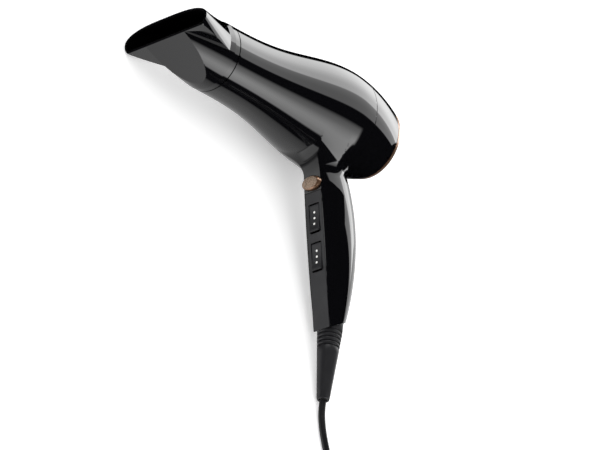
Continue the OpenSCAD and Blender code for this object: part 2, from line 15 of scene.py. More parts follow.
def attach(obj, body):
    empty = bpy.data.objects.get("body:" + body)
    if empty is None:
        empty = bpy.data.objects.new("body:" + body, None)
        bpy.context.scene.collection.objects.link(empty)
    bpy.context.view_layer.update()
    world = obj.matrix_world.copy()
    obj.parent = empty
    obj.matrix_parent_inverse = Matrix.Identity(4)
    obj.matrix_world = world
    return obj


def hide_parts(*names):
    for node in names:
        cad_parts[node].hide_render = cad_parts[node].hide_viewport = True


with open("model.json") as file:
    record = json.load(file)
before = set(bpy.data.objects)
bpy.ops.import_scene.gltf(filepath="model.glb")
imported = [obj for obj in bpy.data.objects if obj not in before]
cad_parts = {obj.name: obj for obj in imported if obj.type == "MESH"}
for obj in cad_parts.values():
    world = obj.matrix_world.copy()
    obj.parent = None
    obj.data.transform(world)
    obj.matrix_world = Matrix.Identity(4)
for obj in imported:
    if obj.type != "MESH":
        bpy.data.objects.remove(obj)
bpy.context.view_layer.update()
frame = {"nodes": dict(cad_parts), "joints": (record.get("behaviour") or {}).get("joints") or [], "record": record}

joints = {j["name"]: j for j in frame["joints"]}

# %% [markdown]
# ## The upright frame
# The shells are easier to think about with the barrel level and the handle straight down. So points are
# written as millimetres behind the nozzle seam, to the right and up, and one function lays them down.
# %% Upright millimetres to the table
MM = 1000           # millimetres in a metre
SEAM = Vector(joints["nozzle_swivel"]["pos_m"])
REAR = Vector((1, 0, 0))
RIGHT = Vector(joints["upper_select"]["axis"]).normalized()
UP = REAR.cross(RIGHT)
UPRIGHT = np.array([REAR, RIGHT, UP])


def lay_down(points):
    """Upright millimetres, one point or many, to metres on the table."""
    return np.asarray(points, float) @ UPRIGHT / MM + np.array(SEAM)


def to_upright(points):
    """The way back: metres on the table to upright millimetres."""
    return (np.asarray(points, float) - np.array(SEAM)) @ UPRIGHT.T * MM


def linked(name, data):
    """An object in the scene, at the origin."""
    thing = bpy.data.objects.new(name, data)
    bpy.context.scene.collection.objects.link(thing)
    return thing


print("barrel axis", round(SEAM.z * MM, 1), "mm above the table")

# %% [markdown]
# ## The camera
# A long lens far away keeps the barrel's edges nearly parallel. The camera looks at the dryer from the
# front, the left and below the barrel, and is rolled until the handle stands upright in the picture.
# %% Camera
AIM = Vector((0.0281, -0.0103, 0.0309))
camera_data = bpy.data.cameras.new("camera")
camera_data.lens = 300
camera_data.sensor_width = 36
camera_data.clip_end = 50
camera = linked("camera", camera_data)


def look_from(azimuth, elevation, roll, distance):
    """Azimuth is measured from +X, elevation from the table, roll about the line of sight."""
    away = Vector((cos(elevation) * cos(azimuth), cos(elevation) * sin(azimuth), sin(elevation)))
    side = Vector((-sin(azimuth), cos(azimuth), 0))
    upward = away.cross(side)
    right = side * cos(roll) + upward * sin(roll)
    top = away.cross(right)
    turn = Matrix((right, top, away)).transposed().to_4x4()
    return Matrix.Translation(AIM + away * distance) @ turn


camera.matrix_world = look_from(azimuth=radians(-141.59), elevation=radians(32.19),
    roll=radians(61.35), distance=3.57)
bpy.context.scene.camera = camera
print("camera at", [round(v, 2) for v in camera.location])

# %% [markdown]
# ## Small helpers
# Colours are written as sRGB hex, as a paint chart gives them, and turned to linear light once. One
# function adds a node with its settings and links.
# %% Colour and node helpers


def srgb(code):
    parts = [int(code[i:i + 2], 16) / 255 for i in (1, 3, 5)]
    return tuple(p / 12.92 if p <= 0.04045 else ((p + 0.055) / 1.055) ** 2.4 for p in parts) + (1.0,)


def add(tree, kind, inputs=None, **settings):
    """Adds a node. An input is a value or a socket to link from."""
    node = tree.nodes.new(kind)
    for name, value in settings.items():
        setattr(node, name, value)
    for name, value in (inputs or {}).items():
        if isinstance(value, bpy.types.NodeSocket):
            tree.links.new(value, node.inputs[name])
        else:
            node.inputs[name].default_value = value
    return node


def new_material(name):
    """An empty node material, and the tree to fill."""
    material = bpy.data.materials.new(name)
    material.use_nodes = True
    material.node_tree.nodes.clear()
    return material, material.node_tree


def noise(tree, scale, detail, place=None):
    """Cloudy values in the piece's own coordinates."""
    if place is None:
        place = add(tree, "ShaderNodeTexCoord").outputs["Object"]
    return add(tree, "ShaderNodeTexNoise", {"Vector": place, "Scale": scale, "Detail": detail}).outputs["Fac"]


def spread(tree, cloud, low, high):
    """A value from low to high over the middle of a noise."""
    return add(tree, "ShaderNodeMapRange", {"Value": cloud, "From Min": 0.3, "From Max": 0.7,
        "To Min": low, "To Max": high}).outputs["Result"]


def lifted(tree, height, depth_mm):
    """A bump with a real depth."""
    return add(tree, "ShaderNodeBump", {"Height": height, "Distance": depth_mm / MM,
        "Strength": 1.0}).outputs["Normal"]


def show(tree, kind, inputs):
    """The shader that a material ends in, and its output."""
    add(tree, "ShaderNodeOutputMaterial", {"Surface": add(tree, kind, inputs).outputs[0]})


# %% [markdown]
# ## Finishes
# The housing is ABS moulded in a polished tool: nearly black, with a sharp reflection and a trace of the
# waviness that thin mouldings have. Rougher nylon, lacquer, mica, wire and laminate are inside or trim.
# %% Plastics


def plastic(name, colour, rough, rough_spread, grain_mm, grain_depth, ior=1.5):
    """Moulded plastic. Noise with a grain size varies the roughness and lifts the surface a little."""
    material, tree = new_material(name)
    varied = spread(tree, noise(tree, 45.0, 3.0), max(rough - rough_spread, 0.0), rough + rough_spread)
    show(tree, "ShaderNodeBsdfPrincipled", {"Base Color": srgb(colour), "Roughness": varied, "IOR": ior,
        "Normal": lifted(tree, noise(tree, MM / grain_mm, 2.0), grain_depth)})
    return material


# Polished black ABS: mirror-like, with a 9 mm waviness two microns deep
gloss_abs = plastic("polished_black_abs", "#08080a", 0.035, 0.012, 9.0, 0.002)
# Spark-eroded black nylon: a fine even grain, drawn at 0.35 mm so that it shows
satin_nylon = plastic("spark_eroded_nylon", "#222225", 0.42, 0.06, 0.35, 0.012)
# Matt PVC sheath: softer, with faint smears
cord_pvc = plastic("matt_pvc_sheath", "#19191b", 0.38, 0.08, 1.2, 0.01)
# Phenolic switch cases and magnets
phenolic = plastic("moulded_phenolic", "#161616", 0.5, 0.08, 0.5, 0.01)
# Polyester film case of the capacitor
film_case = plastic("polyester_film_case", "#c4ab4e", 0.3, 0.05, 1.0, 0.004)
# Pad-printed ink: thin, matt and nearly white
white_ink = plastic("pad_printed_ink", "#eeeeea", 0.55, 0.05, 0.3, 0.004)
print("plastics:", len(bpy.data.materials))

# %% [markdown]
# ## Metals, lacquer and inner materials
# The intake ring and the button are bronze-coloured lacquer with metal flake over plastic. Wire and
# sheet metal are drawn or rolled, so their roughness runs in fine lines along one direction.
# %% Lacquer and metals


def flake_lacquer(name, colour, dark, flake_mm, lift_mm, rough):
    """Metal flake under a clear coat. Cells of one flake each vary in tone and tilt."""
    material, tree = new_material(name)
    place = add(tree, "ShaderNodeTexCoord").outputs["Object"]
    flake = add(tree, "ShaderNodeTexVoronoi", {"Vector": place, "Scale": MM / flake_mm})
    tone = add(tree, "ShaderNodeSeparateColor", {"Color": flake.outputs["Color"]})
    mix = add(tree, "ShaderNodeMix", {"Factor": tone.outputs["Red"], "A": srgb(dark), "B": srgb(colour)},
        data_type="RGBA")
    show(tree, "ShaderNodeBsdfPrincipled", {"Base Color": mix.outputs["Result"], "Metallic": 0.75,
        "Roughness": rough, "Coat Weight": 0.5, "Coat Roughness": 0.12,
        "Normal": lifted(tree, tone.outputs["Green"], lift_mm)})
    return material


def drawn_metal(name, colour, rough, line_mm):
    """Drawn or rolled metal: lines along X, stretched twenty to one."""
    material, tree = new_material(name)
    place = add(tree, "ShaderNodeTexCoord").outputs["Object"]
    stretch = add(tree, "ShaderNodeMapping", {"Vector": place, "Scale": (0.05, 1.0, 1.0)})
    lines = noise(tree, MM / line_mm, 2.0, stretch.outputs["Vector"])
    show(tree, "ShaderNodeBsdfPrincipled", {"Base Color": srgb(colour), "Metallic": 1.0,
        "Roughness": spread(tree, lines, rough * 0.7, rough * 1.4), "Normal": lifted(tree, lines, 0.004)})
    return material


# Smooth bronze lacquer of the ring, and the same colour on the button's sandy face
bronze_lacquer = flake_lacquer("bronze_lacquer", "#a98468", "#6d4f3b", 0.3, 0.01, 0.3)
sandy_bronze = flake_lacquer("sandy_bronze_lacquer", "#c0a68e", "#77614e", 0.55, 0.12, 0.42)
nickel_wire = drawn_metal("drawn_nickel", "#c2beb8", 0.25, 0.2)
zinc_steel = drawn_metal("zinc_plated_steel", "#a9abae", 0.35, 0.3)
copper_wire = drawn_metal("enamelled_copper", "#b96f42", 0.3, 0.2)
oiled_bronze = drawn_metal("sintered_bronze", "#a07c4c", 0.5, 0.15)
# Mica sheet: pearly flakes pressed together, and green solder mask over copper tracks
mica_sheet = plastic("pressed_mica", "#b5a57e", 0.35, 0.12, 2.0, 0.05)
solder_mask = plastic("solder_mask", "#2c5f3d", 0.3, 0.06, 1.5, 0.01)
# Bore of the nozzle: the tool is not polished there, so it is dull. Its near-black colour, darker than the
# shell's, and its weak reflection (IOR 1.3) are painted shade for the dark inside of the bore.
dull_bore_painted_shade = plastic("unpolished_abs_painted_shade", "#030303", 0.6, 0.05, 0.6, 0.005, ior=1.3)

FINISH = {"satin_black": satin_nylon, "gloss_black": gloss_abs, "bronze": bronze_lacquer,
    "mica": mica_sheet, "nickel": nickel_wire, "steel": zinc_steel, "sintered_bronze": oiled_bronze,
    "copper": copper_wire, "board_green": solder_mask, "component_black": phenolic,
    "component_yellow": film_case, "cord_black": cord_pvc, "white_mark": white_ink}
print("materials:", len(bpy.data.materials))

# %% [markdown]
# ## Pieces from rings and outlines
# Most mouldings here are a row of equal rings: a lathe turned about the barrel, a loft or a taper. One
# function joins rings to quads, and a bevel softens the edges that the tool would leave round.
# %% Ring helpers


def place_piece(name, points, faces, material):
    """A mesh object at the origin, from points on the table in metres."""
    mesh = bpy.data.meshes.new(name)
    mesh.from_pydata([tuple(p) for p in points], [], faces)
    mesh.materials.append(material)
    return linked(name, mesh)


def soften(piece, edge_mm=0.0, angle=30, segments=2):
    """Smooth shading between sharp edges, and a small bevel along those edges."""
    piece.data.polygons.foreach_set("use_smooth", [True] * len(piece.data.polygons))
    piece.data.set_sharp_from_angle(angle=radians(angle))
    if edge_mm:
        bevel = piece.modifiers.new("edge", "BEVEL")
        bevel.width = edge_mm / MM
        bevel.segments = segments
        bevel.limit_method = "ANGLE"
        bevel.angle_limit = radians(angle)
        bevel.harden_normals = True
    return piece


def ring_faces(rings, around, closed_path=False):
    """Quads between neighbouring rings; the ends are flat caps unless the path closes on itself."""
    faces = []
    for j in range(rings if closed_path else rings - 1):
        k = (j + 1) % rings
        for i in range(around):
            n = (i + 1) % around
            faces.append((j * around + i, j * around + n, k * around + n, k * around + i))
    if not closed_path:
        faces.append(tuple(reversed(range(around))))
        faces.append(tuple((rings - 1) * around + i for i in range(around)))
    return faces


def outward(piece):
    """Turns the faces of a closed piece outwards."""
    work = bmesh.new()
    work.from_mesh(piece.data)
    bmesh.ops.recalc_face_normals(work, faces=work.faces)
    if work.calc_volume(signed=True) < 0:
        bmesh.ops.reverse_faces(work, faces=work.faces)
    work.to_mesh(piece.data)
    work.free()
    return piece


def full_turn(around):
    """Equal steps round a circle."""
    return np.arange(around) * 2 * pi / around


def lathe(name, outline, material, around=144):
    """Turns a closed outline of (behind the seam, radius) about the barrel's axis."""
    points = [(x, r * cos(a), r * sin(a)) for x, r in outline for a in full_turn(around)]
    return outward(place_piece(name, lay_down(points), ring_faces(len(outline), around, True), material))


def ride(piece, body, slot, *nodes):
    """Puts a finished piece on its body and hides the CAD nodes that it stands for. The slot is not used."""
    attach(piece, body)
    if nodes:
        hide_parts(*nodes)
    return piece


# %% [markdown]
# ## Lines of the barrel and the handle
# These formulas are the moulding's own: a bulge that grows to the belly, a drop to the rear rim, a front
# face that leans back, and a back that swells where the palm sits.
# %% Outlines
BELLY_X, REAR_X, CAP_X, LIP_X = 120, 172, 133, 167.4
COLLAR_R, BELLY_R = 26, 39.4
BULGE, BULGE_POWER = 13.4, 1.46         # the belly's rise over the collar
DROP, DROP_POWER = 11.6, 1.85           # from the belly down to the rear rim
WALL, GAP = 2.0, 0.3
LEAN, FACE_X, FACE_H = radians(7.7), 108.5, 60
END_H, GRIP_H = 168, 97
BACK_X, BACK_CURVE, END_DEEP = 153, 0.004, 17.8
GRIP_HALF, END_LESS = 12.7, 3


def barrel_r(x):
    front = COLLAR_R + BULGE * (1 - np.cos(pi * (np.clip(x, 0, BELLY_X) / BELLY_X) ** BULGE_POWER)) / 2
    rear = BELLY_R - DROP * (np.clip(x - BELLY_X, 0, 70) / (REAR_X - BELLY_X)) ** DROP_POWER
    return np.where(x <= BELLY_X, front, rear)


def lean_x(h):
    return FACE_X + (h - FACE_H) * tan(LEAN)


def back_x(h):
    along = (h - GRIP_H) / (END_H - GRIP_H)
    lower = BACK_X + (lean_x(END_H) + END_DEEP - BACK_X) * along ** 2
    return np.where(h < GRIP_H, BACK_X - BACK_CURVE * (h - GRIP_H) ** 2, lower)


def half_w(h):
    return GRIP_HALF - END_LESS * ((h - GRIP_H) / (END_H - GRIP_H)) ** 2


print("belly", round(float(barrel_r(120.0)), 1), "mm, handle's end", round(lean_x(END_H), 1), "mm back")

# %% [markdown]
# ## Shapes that flow into each other
# The barrel and the handle are one moulding with a fillet between them. Joining two meshes leaves a hard
# seam, so the shape is written as a distance: negative in the plastic, positive outside. Two distances
# blend with a rounded union, and a cut is the larger of two distances.
# Dual contouring meshes it. Each cell that the surface crosses gets one vertex, at the place where the
# tangent planes at its crossed edges meet, so flat faces stay flat and edges come out sharp.
# %% Distance helpers
STAY, ROAM = 0.05, 0.6      # pull of a cell's middle, and how far from it a vertex may go, in cells
CREASE = radians(10)


def joined(a, b, radius):
    """Union of two distances with a concave fillet of that radius."""
    u, v = np.maximum(radius - a, 0), np.maximum(radius - b, 0)
    return np.maximum(radius, np.minimum(a, b)) - np.hypot(u, v)


def gradient(field, points, step=0.02):
    """Unit vectors along which the distance grows."""
    slope = np.empty_like(points)
    for axis in range(3):
        shift = np.zeros(3)
        shift[axis] = step
        slope[:, axis] = field(points + shift) - field(points - shift)
    return slope / np.maximum(np.linalg.norm(slope, axis=1), 1e-9)[:, None]


def contour(field, low, high, step):
    """Points and quads of the surface where the distance is zero."""
    axes = [np.arange(low[i], high[i] + step, step) for i in range(3)]
    grid = np.stack(np.meshgrid(*axes, indexing="ij"), -1)
    value = field(grid)
    inside = value < 0
    size = np.array(value.shape)
    strides = np.array([size[1] * size[2], size[2], 1])
    cells, where, normals, quads = [], [], [], []
    for axis in range(3):
        one = np.eye(3, dtype=int)[axis]
        side, up = np.eye(3, dtype=int)[(axis + 1) % 3], np.eye(3, dtype=int)[(axis + 2) % 3]
        a = inside[tuple(slice(0, size[i] - one[i]) for i in range(3))]
        b = inside[tuple(slice(one[i], size[i]) for i in range(3))]
        start = np.argwhere(a != b)
        near, far = value[tuple(start.T)], value[tuple((start + one).T)]
        origin = np.array([axes[i][start[:, i]] for i in range(3)]).T
        low_t, high_t = np.zeros(len(start)), np.ones(len(start))
        share = near / (near - far)
        for _ in range(6):
            found = field(origin + one * (share * step)[:, None])
            same = (found < 0) == (near < 0)
            low_t, high_t = np.where(same, share, low_t), np.where(same, high_t, share)
            near_v, far_v = np.where(same, found, near), np.where(same, far, found)
            near, far = near_v, far_v
            share = low_t + (high_t - low_t) * np.clip(near / (near - far), 0.05, 0.95)
        point = origin + one * (share * step)[:, None]
        normal = gradient(field, point)
        ring = [start - dj * side - dk * up for dj, dk in ((0, 0), (1, 0), (1, 1), (0, 1))]
        ids = np.array([cell @ strides for cell in ring]).T
        out = inside[tuple(start.T)]
        quads.append(np.where(out[:, None], ids, ids[:, ::-1]))
        for corner in ids.T:
            cells.append(corner)
            where.append(point)
            normals.append(normal)
    cells, where, normals = np.concatenate(cells), np.concatenate(where), np.concatenate(normals)
    used, index = np.unique(cells, return_inverse=True)
    index = index.ravel()
    count = np.bincount(index)
    middle = np.array([np.bincount(index, where[:, i]) / count for i in range(3)]).T
    reach = np.einsum("ij,ij->i", normals, where - middle[index])
    matrix = np.empty((len(used), 3, 3))
    pull = np.empty((len(used), 3))
    for i in range(3):
        pull[:, i] = np.bincount(index, normals[:, i] * reach)
        for j in range(3):
            matrix[:, i, j] = np.bincount(index, normals[:, i] * normals[:, j])
    matrix += STAY * np.eye(3)
    moved = np.linalg.solve(matrix, pull[:, :, None])[:, :, 0]
    cell = np.array(np.unravel_index(used, size)).T
    centre = np.array([axes[i][0] + (cell[:, i] + 0.5) * step for i in range(3)]).T
    points = np.clip(middle + moved, centre - ROAM * step, centre + ROAM * step)
    faces = np.searchsorted(used, np.concatenate(quads))
    return points, faces


def field_piece(name, field, low, high, step, material):
    """A piece from a distance, with each corner's normal taken from the distance itself. Where the
    surface turns within a face the corner takes the normal from inside its own face."""
    points, faces = contour(field, low, high, step)
    piece = place_piece(name, lay_down(points), faces.tolist(), material)
    smooth = gradient(field, points)
    middle = points[faces].mean(1)
    corners = points[faces] * 0.8 + middle[:, None] * 0.2
    leaning = gradient(field, corners.reshape(-1, 3))
    shared = smooth[faces].reshape(-1, 3)
    crease = np.einsum("ij,ij->i", leaning, shared) < cos(CREASE)
    normals = np.where(crease[:, None], leaning, shared) @ UPRIGHT
    piece.data.polygons.foreach_set("use_smooth", [True] * len(faces))
    piece.data.normals_split_custom_set(normals.tolist())
    print(name, len(faces), "quads")
    return piece


# %% [markdown]
# ## Housing
# Barrel, handle and the fillet between them, with a 2 mm wall. The handle's front is cut flat, so its
# section is a D. The rear cap, the switch panel, the button and the strain relief each get their room.
# %% Housing


def barrel_field(p, inset=0.0):
    x, radius = p[..., 0], np.hypot(p[..., 1], p[..., 2])
    slope = (barrel_r(x + 0.1) - barrel_r(x - 0.1)) / 0.2
    return (radius - barrel_r(x) + inset) / np.sqrt(1 + slope ** 2)


D_EDGE = 0.83       # share of the front curve that is left in front of the widest place
WIDEST = 0.42       # share of the depth at which the section is widest
FRONT_POWER, BACK_POWER = 2.5, 2.1
BURIED_H, HANDLE_TOP = 25, 30       # the section is the same above the first, and cut off at the second
END_TILT = radians(29)


def handle_field(p, inset=0.0):
    """D-shaped section: flat front, sides that swell, round back."""
    x, y, h = p[..., 0], np.abs(p[..., 1]), np.maximum(-p[..., 2], BURIED_H)
    front, back, wide = lean_x(h) + inset, back_x(h) - inset, half_w(h) - inset
    middle = front + (back - front) * WIDEST
    ahead = x < middle
    depth = np.where(ahead, (middle - front) / D_EDGE, back - middle)
    power = np.where(ahead, FRONT_POWER, BACK_POWER)
    u, v = np.abs(x - middle) / depth, y / wide
    level = u ** power + v ** power - 1
    steep = np.hypot(power * u ** (power - 1) / depth, power * v ** (power - 1) / wide)
    body = level / np.maximum(steep, 0.06)
    return np.maximum(body, (front - x) * cos(LEAN))


def end_plane(p):
    """Distance below the slanted plane that ends the handle."""
    return (p[..., 0] - lean_x(END_H)) * sin(END_TILT) - (p[..., 2] + END_H) * cos(END_TILT)


def panel_place(p, h):
    """Depth behind the panel, distance to the right, height up the panel from a place on it."""
    x, z = p[..., 0] - lean_x(h), p[..., 2] + h
    return x * cos(LEAN) + z * sin(LEAN), p[..., 1], z * cos(LEAN) - x * sin(LEAN)


BUTTON_H, PANEL_TOP = 57.5, 64
RELIEF_TILT, RELIEF_H = radians(5), END_H - 3
RELIEF_X = (lean_x(RELIEF_H) + float(back_x(RELIEF_H))) / 2
FILLET, FILLET_LESS = 12, 10        # radius in front of the handle, and how much less it is behind
FADE_X, FADE_LEN = 118, 26
SPIGOT_HOLE_R, SPIGOT_HOLE_DEEP = 22.75, 3
SLOT_HALF, NECK_R, NECK_TOP = 7.7, 6.2, 140
BUTTON_HOLE = (8.55, 5.5)


def housing_field(p):
    x, y, z = p[..., 0], p[..., 1], p[..., 2]
    barrel, handle = barrel_field(p), np.maximum(handle_field(p), z + HANDLE_TOP)
    fade = np.clip((x - FADE_X) / FADE_LEN, 0, 1)
    fillet = FILLET - FILLET_LESS * fade * fade * (3 - 2 * fade)
    outer = joined(barrel, handle, fillet)
    cavity = joined(barrel_field(p, WALL), np.maximum(handle_field(p, WALL), z + HANDLE_TOP), fillet)
    cavity = np.maximum(np.maximum(cavity, WALL - x), end_plane(p) + WALL + 0.5)
    solid = np.maximum(outer, -cavity)
    cap = np.maximum(CAP_X - GAP - x, barrel - GAP)
    spigot = np.maximum(np.hypot(y, z) - SPIGOT_HOLE_R, x - SPIGOT_HOLE_DEEP)
    depth, _, up = panel_place(p, PANEL_TOP)
    slot = np.maximum(np.maximum(np.abs(y) - SLOT_HALF, up - 0.2), depth - WALL - 0.2)
    depth, right, up = panel_place(p, BUTTON_H)
    oval = (np.hypot(right / BUTTON_HOLE[0], up / BUTTON_HOLE[1]) - 1) * BUTTON_HOLE[1]
    hole = np.maximum(oval, depth - 8)
    dx, dz = x - RELIEF_X, z + RELIEF_H
    neck = np.hypot(dx * cos(RELIEF_TILT) - dz * sin(RELIEF_TILT), y) - NECK_R
    neck = np.maximum(neck, z + NECK_TOP)
    for cut in (cap, spigot, slot, hole, neck):
        solid = np.maximum(solid, -cut)
    return np.maximum(np.maximum(solid, -x), end_plane(p))


housing = field_piece("housing_shell", housing_field, (-2, -42, -174), (157, 42, 42), 1.0, gloss_abs)
ride(housing, "body", "gloss_black", "housing")

# %% [markdown]
# ## Nozzle
# A round collar narrows into a cone, a flat fishtail grows out of it to the wide mouth, and a slanting
# plane cuts the underside. Each of these is a distance, so the creases between them come out crisp. The
# slanting plane is steep enough to leave a thin wall over the round bore that takes the barrel's spigot.
# %% Nozzle
MOUTH_A, MOUTH_LOW, LIP_WALL = 51, -6.4, 1.8
WING_A = 10
SEAM_GAP = 0.9
BORE_R, BORE_LEN, BORE_WALL = 24.2, 13.3, 0.6
WING_LEN = MOUTH_A - WING_A
WING_R = 25.4


def cone_field(a, y, z, inset):
    """A cone whose upper half sinks into the fishtail before the mouth."""
    along = np.clip(a - 5, 0, 60) / 46
    return np.hypot(y, np.where(z > 0, z * (1 + 1.1 * along), z)) - COLLAR_R + 6.5 * along ** 1.15 + inset


def wing_field(a, y, z, inset):
    """Section that changes from the collar's circle to the mouth's slot."""
    t = np.clip((a - WING_A) / WING_LEN, -0.3, 1.1)
    wide = WING_R + 14.2 * t - inset
    middle = 0.8 * t
    tall = WING_R - 15.2 * t - inset
    u, v = np.abs(y) / wide, (z - middle) / tall
    n, m = 2 + 1.2 * np.maximum(t, 0), 2 + 0.15 * np.maximum(t, 0)
    rise = np.maximum(v, 0)
    level = u ** n + rise ** m - 1
    steep = np.hypot(n * u ** (n - 1) / wide, m * rise ** (m - 1) / tall)
    upper = level / np.maximum(steep, 0.02)
    end = WING_R - 16.4 * t - inset
    lower = np.hypot(np.maximum(np.abs(y) - (wide - end), 0), z - middle) - end
    return np.maximum(np.where(z > middle, upper, lower), MOUTH_LOW + inset - z)


def nozzle_field(p, only_duct=False):
    """The nozzle, or the air's way through it alone, with a in front of the seam."""
    a, y, z = -p[..., 0], p[..., 1], p[..., 2]
    slope = (BORE_R + BORE_WALL + MOUTH_LOW) / (MOUTH_A - BORE_LEN)

    def form(inset):
        shape = np.minimum(cone_field(a, y, z, inset), np.maximum(wing_field(a, y, z, inset), WING_A - a))
        under = (MOUTH_LOW + slope * (a - MOUTH_A) + inset - z) / sqrt(1 + slope ** 2)
        return np.maximum(shape, under)

    bore = np.maximum(np.hypot(y, z) - BORE_R, a - BORE_LEN)
    duct = np.minimum(np.maximum(form(LIP_WALL), WING_A - a), bore)
    if only_duct:
        return duct
    solid = np.maximum(form(0.0), -duct)
    return np.maximum(np.maximum(solid, SEAM_GAP - a), a - MOUTH_A)


def duct_field(p):
    return nozzle_field(p, only_duct=True)


nozzle = field_piece("nozzle_shell_gloss", nozzle_field, (-52, -41, -27), (1, 41, 27), 0.6, gloss_abs)
# The faces of the bore and duct take the painted shade: a darker, duller plastic that reflects less
nozzle.data.materials.append(dull_bore_painted_shade)
for face in nozzle.data.polygons:
    face.material_index = int(duct_field(to_upright(face.center)) < 0.3)
ride(nozzle, "nozzle", "gloss_black", "nozzle_shell")

# %% [markdown]
# ## Rear cap and intake ring
# Both are turned about the barrel's axis, so a lathe gives them. The cap's front edge tucks behind the
# housing's, which leaves the fine seam round the belly. The ring has a chamfer inside and out.
# %% Cap and ring
SKIRT_R, RING_IN = 22.6, 21.2
LEDGE, TONGUE = 5, 4                # the lip's inner depth, and the part that reaches under the housing


def on_barrel(x, inset=0.0):
    """A place on the barrel's outline, or under it."""
    return x, float(barrel_r(x)) - inset


cap_outline = [on_barrel(CAP_X, 0.45)]
cap_outline += [on_barrel(x) for x in np.linspace(CAP_X + 0.5, LIP_X - 0.4, 26)]
cap_outline += [on_barrel(LIP_X, 0.4), (LIP_X, SKIRT_R + 0.15), (LIP_X - LEDGE, SKIRT_R + 0.15)]
cap_outline += [on_barrel(x, WALL) for x in np.linspace(LIP_X - LEDGE, CAP_X + 3, 20)]
under_r = float(barrel_r(CAP_X)) - 2 * WALL
cap_outline += [(CAP_X + 3, under_r), (CAP_X - TONGUE, under_r),
    on_barrel(CAP_X - TONGUE, WALL + 0.2), on_barrel(CAP_X, WALL + 0.2)]
rear_cap = soften(lathe("rear_cap_gloss", cap_outline, gloss_abs), 0.0, 28)
ride(rear_cap, "body", "gloss_black", "rear_cap")

SLEEVE = 7
ring_outline = [(LIP_X + GAP, float(barrel_r(LIP_X)) - 0.5)]
ring_outline += [on_barrel(x) for x in np.linspace(LIP_X + GAP + 0.3, REAR_X - 1.1, 6)]
ring_outline += [(REAR_X - 0.35, 27.3), (REAR_X, 26.5), (REAR_X, RING_IN + 1.4),
    (REAR_X - 0.5, RING_IN + 0.5), (REAR_X - 1.5, RING_IN), (LIP_X - SLEEVE, RING_IN),
    (LIP_X - SLEEVE, SKIRT_R), (LIP_X + GAP, SKIRT_R)]
intake_ring = soften(lathe("intake_ring", ring_outline, bronze_lacquer), 0.0, 28)
ride(intake_ring, "rear_filter", "bronze", "grille_ring")
print("cap and ring:", len(cap_outline), "and", len(ring_outline), "points in their outlines")

# %% [markdown]
# ## Switch panel and rockers
# The panel is a flat moulding with two windows, so it starts as a plate, the windows are cut by a
# boolean, and a small bevel rounds what is left. A rocker is an outline with a dip for the finger,
# stretched to its width.
# %% Panel space


def on_panel(h, points):
    """Depth behind the panel, right and up from a place on it, to the table."""
    depth, right, up = np.asarray(points, float).T
    x = lean_x(h) + depth * cos(LEAN) - up * sin(LEAN)
    z = -h + depth * sin(LEAN) + up * cos(LEAN)
    return lay_down(np.array([x, right, z]).T)


def prism(name, h, outline, low, high, across, material):
    """Stretches an outline across depth (0), right (1) or up (2)."""
    rings = [[list(p[:across]) + [v] + list(p[across:]) for p in outline] for v in (low, high)]
    points = on_panel(h, np.array(rings).reshape(-1, 3))
    return outward(place_piece(name, points, ring_faces(2, len(outline)), material))


def rounded_box(half_wide, half_tall, radius, steps=6):
    """Outline of a box with round corners, corner by corner."""
    outline = []
    for sx, sy, first in ((1, 1, 0), (-1, 1, 90), (-1, -1, 180), (1, -1, 270)):
        for k in range(steps + 1):
            a = radians(first + 90 * k / steps)
            outline.append((sx * (half_wide - radius) + radius * cos(a),
                sy * (half_tall - radius) + radius * sin(a)))
    return outline


def settle_modifiers(piece):
    """Runs a piece's modifiers once and keeps the result as its plain mesh."""
    mesh = bpy.data.meshes.new_from_object(piece.evaluated_get(bpy.context.evaluated_depsgraph_get()))
    piece.modifiers.clear()
    piece.data = mesh
    return mesh


def cut_away(piece, *cutters):
    """Boolean difference, kept as a plain mesh."""
    for cutter in cutters:
        work = piece.modifiers.new("cut", "BOOLEAN")
        work.solver = "EXACT"
        work.object = cutter
        settle_modifiers(piece)
        bpy.data.objects.remove(cutter)


# %% [markdown]
# ## Panel
# The plate runs from under the button to the handle's slanted end, and its lower edge follows that slant.
# %% Panel with its windows
UPPER_H, LOWER_H = 84, 113.2
HOLE = (4.9, 11.25)
ROCKER = (4.6, 10.4)
end_up = -(END_H - PANEL_TOP) / cos(LEAN)
end_rise = WALL * tan(END_TILT + LEAN)
plate = [(0, 0), (WALL, 0), (WALL, end_up + end_rise), (0, end_up)]
panel = prism("switch_panel", PANEL_TOP, plate, -7.5, 7.5, 1, satin_nylon)
windows = [prism("window", h, rounded_box(*HOLE, 1.2), -3, 6, 0, satin_nylon) for h in (UPPER_H, LOWER_H)]
cut_away(panel, *windows)
soften(panel, 0.25)
ride(panel, "body", "satin_black", "front_cover")

# %% [markdown]
# ## Rockers
# A rocker dips for the finger and stands a little prouder at its lower end. Three printed dots follow its
# face: Geometry Nodes put a flat cylinder on each point of a line.
# %% Rockers and their printed marks
DIP, PROUD, LIFT, MARK_PITCH = 0.75, 0.7, 0.09, 4.5


def rocker_depth(up):
    """Dips for the finger and stands prouder at its lower end."""
    return -PROUD + DIP * max(1 - (up / (ROCKER[1] - 1.6)) ** 2, 0) + LIFT * up


def rocker(name, h, body, node):
    top = [(rocker_depth(u), u) for u in np.linspace(-ROCKER[1], ROCKER[1], 25)]
    outline = top + [(5.4, ROCKER[1] - 1.4), (5.4, -ROCKER[1] + 1.4)]
    piece = prism(name, h, outline, -ROCKER[0], ROCKER[0], 1, satin_nylon)
    return ride(soften(piece, 0.45, 35, 3), body, "satin_black", node)


rocker("rocker_upper", UPPER_H, "upper_rocker", "upper_rocker")
rocker("rocker_lower", LOWER_H, "lower_rocker", "lower_rocker")


